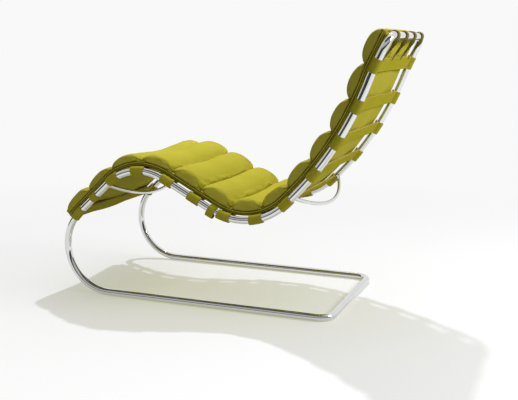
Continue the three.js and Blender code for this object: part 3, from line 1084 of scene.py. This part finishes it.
# A roll, and the points that its simulation holds
def flatRoll(name, number, length, full, valleyShares):
    crownStart = rollSet["floorSteps"] + 1 + rollSet["wallSteps"]
    crownEnd = crownStart + rollSet["crownSteps"]
    ringSize = crownEnd + 1 + rollSet["wallSteps"]
    mesh = bmesh.new()
    rings, held = [], []
    for y, angle in rollStations():
        points, inKnot = rollRing(number, length, full, valleyShares, y, angle)
        held += [len(rings) * ringSize + crownStart + step for step in inKnot]
        rings.append([mesh.verts.new(point) for point in points])
    for ring, following in zip(rings, rings[1:]):
        for i in range(ringSize):
            j = (i + 1) % ringSize
            mesh.faces.new((ring[i], ring[j], following[j], following[i]))
    mesh.faces.new(rings[0])
    mesh.faces.new(list(reversed(rings[-1])))
    data = bpy.data.meshes.new(name)
    mesh.to_mesh(data)
    mesh.free()
    piece = bpy.data.objects.new(name, data)
    bpy.context.collection.objects.link(piece)
    points = len(data.vertices)
    held += [
        i for i in range(points)
        if not crownStart < i % ringSize < crownEnd or not ringSize <= i < points - ringSize
    ]
    return piece, held


# The stuffing's pressure, with the seams and the underside held, and the movement capped
def plumpRoll(piece, held, length):
    setting = rollSet["cloth"]
    rest = [vertex.co.copy() for vertex in piece.data.vertices]
    group = piece.vertex_groups.new(name="sewn")
    group.add(held, 1.0, "REPLACE")
    makeActive(piece)
    cloth = piece.modifiers.new("stuffing", "CLOTH")
    cloth.settings.vertex_group_mass = group.name
    cloth.settings.use_pressure = True
    cloth.settings.uniform_pressure_force = setting["pressure"]
    cloth.settings.shrink_min = setting["growth"]
    cloth.settings.tension_stiffness = setting["stiffness"]
    cloth.settings.compression_stiffness = setting["stiffness"]
    cloth.settings.bending_stiffness = setting["bending"]
    cloth.settings.effector_weights.gravity = 0
    cloth.point_cache.frame_start = 1
    cloth.point_cache.frame_end = setting["frames"]
    for frameNumber in range(1, setting["frames"] + 1):
        bpy.context.scene.frame_set(frameNumber)
    bpy.ops.object.modifier_apply(modifier=cloth.name)
    bpy.context.scene.frame_set(1)
    seam = rollSet["seam"] / 2
    for vertex, before in zip(piece.data.vertices, rest):
        move = vertex.co - before
        if move.length > setting["cap"]:
            move = move.normalized() * setting["cap"]
        vertex.co = before + move
        vertex.co.x = min(length - seam, max(seam, vertex.co.x))
    piece.vertex_groups.clear()


seams = rollSeams()
valleys = [rollSet["valleyShare"]] * (rollSet["count"] + 1)
valleys[0], valleys[-1] = rollSet["toeValleyShare"], rollSet["headValleyShare"]
for number in range(1, rollSet["count"] + 1):
    start, end = seams[number - 1:number + 1]
    height = rollHeight(start, end, number)
    name = "cushionRoll_%02d" % number
    valleyShares = valleys[number - 1:number + 1]
    piece, held = flatRoll(name, number, end - start, height, valleyShares)
    plumpRoll(piece, held, end - start)
    makeActive(piece)
    rounding = piece.modifiers.new("rounding", "SUBSURF")
    rounding.levels = rounding.render_levels = 1
    bpy.ops.object.modifier_apply(modifier=rounding.name)
    layCushion(piece, start)
    finishShell(piece, rollSet["smoothAngle"])
    dress(piece, cushionLeather)
    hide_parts("cushion_roll_%02d" % number)


# The joints' inner sleeves keep their solids
for name in ("joint_sleeve_floor", "joint_sleeve_top"):
    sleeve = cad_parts[name]
    sleeve.data.materials.clear()
    sleeve.data.materials.append(chrome)


# Floor, backdrop and lights
print("studio")
lightSet = {
    "keyPlace": (-0.47, 2.12, 3.83),
    "keyPower": 485,
    "keyRadius": 0.07,
    "sidePlace": (3.0, 0.15, 2.0),
    "sideTarget": (0.2, 0.0, 0.4),
    "sidePower": 50,
    "sideSize": 0.9,
}
backgroundLevel = 0.945

bpy.ops.object.light_add(type="POINT", location=lightSet["keyPlace"])
keyLight = bpy.context.object
keyLight.name = "keyLight"
keyLight.data.energy = lightSet["keyPower"]
keyLight.data.shadow_soft_size = lightSet["keyRadius"]

bpy.ops.object.light_add(type="AREA", location=lightSet["sidePlace"])
sideLight = bpy.context.object
sideLight.name = "sideLight"
sideWay = Vector(lightSet["sideTarget"]) - Vector(lightSet["sidePlace"])
sideLight.rotation_euler = sideWay.to_track_quat("-Z", "Y").to_euler()
sideLight.data.energy = lightSet["sidePower"]
sideLight.data.size = lightSet["sideSize"]

floorSet = {
    "size": 60,
    "shade": 0.273,
    "shadeLimit": 0.95,
    "shadePower": 3,
    "open": 0.66,  # the level that the lamp's shadow has on the open floor
    "soft": 0.6,  # how much soft light the floor's shade already gives back
    # painted bounce light: near the chair the floor's shadow holds less blue, as if lit off the
    # leather
    "paintedBounceBlue": 0.87,  # the leather's tint in the shadow
    "paintedBounceFade": (0.3, 1.1),  # metres from the chair, as in the next line
    "fade": (1.6, 2.8),
    "unseenFrom": 5,  # polished tube doesn't see the floor further in front than this
}


# The floor gives back the lamp evenly, by a shade that grows with the distance from the lamp,
# and shows a level of its own besides. Near the chair both hold a little less blue in the shadow:
# painted bounce light from the leather.
def floorColours(nodes, links, place, distance):
    lampHeight = lightSet["keyPlace"][2]
    apart = vectorNode(nodes, links, "DISTANCE", place, lightSet["keyPlace"])
    ratio = mathNode(nodes, links, "DIVIDE", apart, lampHeight)
    evened = mathNode(nodes, links, "POWER", ratio, floorSet["shadePower"])
    shade = mathNode(nodes, links, "MULTIPLY", evened, floorSet["shade"])
    shade = mathNode(nodes, links, "MINIMUM", shade, floorSet["shadeLimit"])
    dark = floorSet["open"]
    darkBlue = rangeNode(
        nodes, links, distance, dark * floorSet["paintedBounceBlue"], dark, *floorSet["paintedBounceFade"]
    )
    blueKey = mathNode(nodes, links, "SUBTRACT", backgroundLevel, darkBlue)
    blueKey = mathNode(nodes, links, "DIVIDE", blueKey, backgroundLevel - dark)
    blueShade = mathNode(nodes, links, "MULTIPLY", shade, blueKey)
    shadeColour = nodes.new("ShaderNodeCombineColor")
    glowColour = nodes.new("ShaderNodeCombineColor")
    for channel, part, level in (
        ("Red", shade, dark), ("Green", shade, dark), ("Blue", blueShade, darkBlue)
    ):
        links.new(part, shadeColour.inputs[channel])
        soft = mathNode(nodes, links, "MULTIPLY", part, floorSet["soft"])
        rest = mathNode(nodes, links, "SUBTRACT", level, soft)
        links.new(rest, glowColour.inputs[channel])
    return shadeColour.outputs["Color"], glowColour.outputs["Color"]


# Where the floor shows its own level: to the camera, and in polished tube up to a distance
def floorShown(nodes, links, place):
    rays = nodes.new("ShaderNodeLightPath")
    inTube = rays.outputs["Is Glossy Ray"]
    seen = mathNode(nodes, links, "MAXIMUM", rays.outputs["Is Camera Ray"], inTube)
    split = nodes.new("ShaderNodeSeparateXYZ")
    links.new(place, split.inputs[0])
    front = mathNode(nodes, links, "LESS_THAN", split.outputs["Y"], -floorSet["unseenFrom"])
    hidden = mathNode(nodes, links, "MULTIPLY", front, inTube)
    return mathNode(nodes, links, "SUBTRACT", seen, hidden)


def makeFloor():
    deselectAll()
    bpy.ops.mesh.primitive_plane_add(size=floorSet["size"])
    floor = startPiece("studioFloor")
    material, nodes, links, shader, place = newMaterial("studioFloor")
    nodes.remove(shader)
    distance = vectorNode(nodes, links, "LENGTH", place)
    shown = floorShown(nodes, links, place)
    shade, level = floorColours(nodes, links, place, distance)
    diffuse = nodes.new("ShaderNodeBsdfDiffuse")
    links.new(shade, diffuse.inputs["Color"])
    glow = nodes.new("ShaderNodeEmission")
    links.new(level, glow.inputs["Color"])
    links.new(shown, glow.inputs["Strength"])
    both = nodes.new("ShaderNodeAddShader")
    links.new(diffuse.outputs["BSDF"], both.inputs[0])
    links.new(glow.outputs["Emission"], both.inputs[1])
    plain = nodes.new("ShaderNodeEmission")
    strength = mathNode(nodes, links, "MULTIPLY", shown, backgroundLevel)
    links.new(strength, plain.inputs["Strength"])
    mixed = nodes.new("ShaderNodeMixShader")
    fade = rangeNode(nodes, links, distance, 0, 1, *floorSet["fade"])
    links.new(fade, mixed.inputs["Fac"])
    links.new(both.outputs["Shader"], mixed.inputs[1])
    links.new(plain.outputs["Emission"], mixed.inputs[2])
    links.new(mixed.outputs["Shader"], nodes["Material Output"].inputs["Surface"])
    floor.data.materials.append(material)


# White for the camera; soft light that leans to one side; a dark room in front for the tube
worldSet = {
    "fill": 0.29,
    "fillLean": (0.32, 0.16, 0.44),
    "fillLeast": 0.02,
    "behindBlend": 0.03,
    # what polished tube sees in front of it, by the height of the direction
    "frontRoom": [(0.0, 0.06), (0.22, 0.07), (0.29, 0.5), (0.7, 0.6), (0.8, 0.1)],
}


def makeWorld():
    world = bpy.data.worlds.new("studio")
    bpy.context.scene.world = world
    world.use_nodes = True
    nodes, links = world.node_tree.nodes, world.node_tree.links
    shade = nodes["Background"]
    shade.inputs["Color"].default_value = (1, 1, 1, 1)
    white = (*[backgroundLevel] * 3, 1)
    rays = nodes.new("ShaderNodeLightPath")
    way = nodes.new("ShaderNodeTexCoord").outputs["Generated"]
    split = nodes.new("ShaderNodeSeparateXYZ")
    links.new(way, split.inputs[0])

    lean = vectorNode(nodes, links, "DOT_PRODUCT", way, worldSet["fillLean"])
    soft = mathNode(nodes, links, "ADD", lean, worldSet["fill"])
    soft = mathNode(nodes, links, "MAXIMUM", soft, worldSet["fillLeast"])

    room = nodes.new("ShaderNodeValToRGB")
    stops = room.color_ramp.elements
    for index, (height, level) in enumerate(worldSet["frontRoom"]):
        stop = stops[index] if index < 2 else stops.new(height)
        stop.position = height
        stop.color = (level, level, level, 1)
    links.new(split.outputs["Z"], room.inputs["Fac"])
    blend = worldSet["behindBlend"]
    behind = rangeNode(nodes, links, split.outputs["Y"], 0, 1, -blend, blend)
    reflected = mixNode(nodes, links, behind, room.outputs["Color"], white)
    glossy = mixNode(nodes, links, rays.outputs["Is Glossy Ray"], soft, reflected)
    level = mixNode(nodes, links, rays.outputs["Is Camera Ray"], glossy, white)
    links.new(level, shade.inputs["Strength"])


makeFloor()
makeWorld()

print("done")
